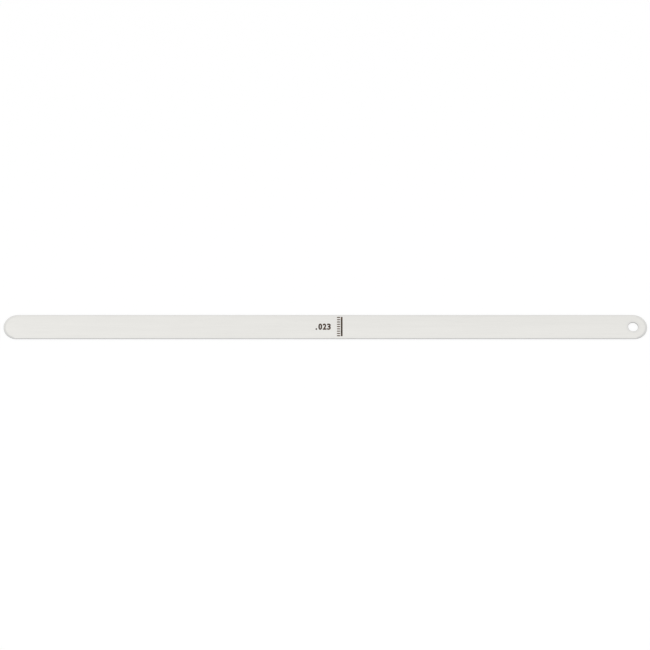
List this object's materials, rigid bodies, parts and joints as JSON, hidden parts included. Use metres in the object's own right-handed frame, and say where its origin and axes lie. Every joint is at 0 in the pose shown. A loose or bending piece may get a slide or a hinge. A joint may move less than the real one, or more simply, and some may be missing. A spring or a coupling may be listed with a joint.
{
  "type": "feeler gauge",
  "caption": "Long straight steel strip with full-round ends and a hanging hole at one end, whose thickness is the gap that it gauges.",
  "frame": {"origin": "centre of the footprint, on the lower face of the strip", "axes": "+X along the strip from the tip to the heel with the hanging hole, +Y across its width, +Z out of the upper face that carries the size"},
  "size_m": [0.3048, 0.0126, 0.0006],
  "materials": {
    "spring_steel": "bright satin, fine grain along the strip, dressed edges",
    "black_mark": "matt black printed marking, about a hundredth of a millimetre thick"
  },
  "bodies": {
    "root": {"leaf": "spring_steel"}
  },
  "joints": []
}
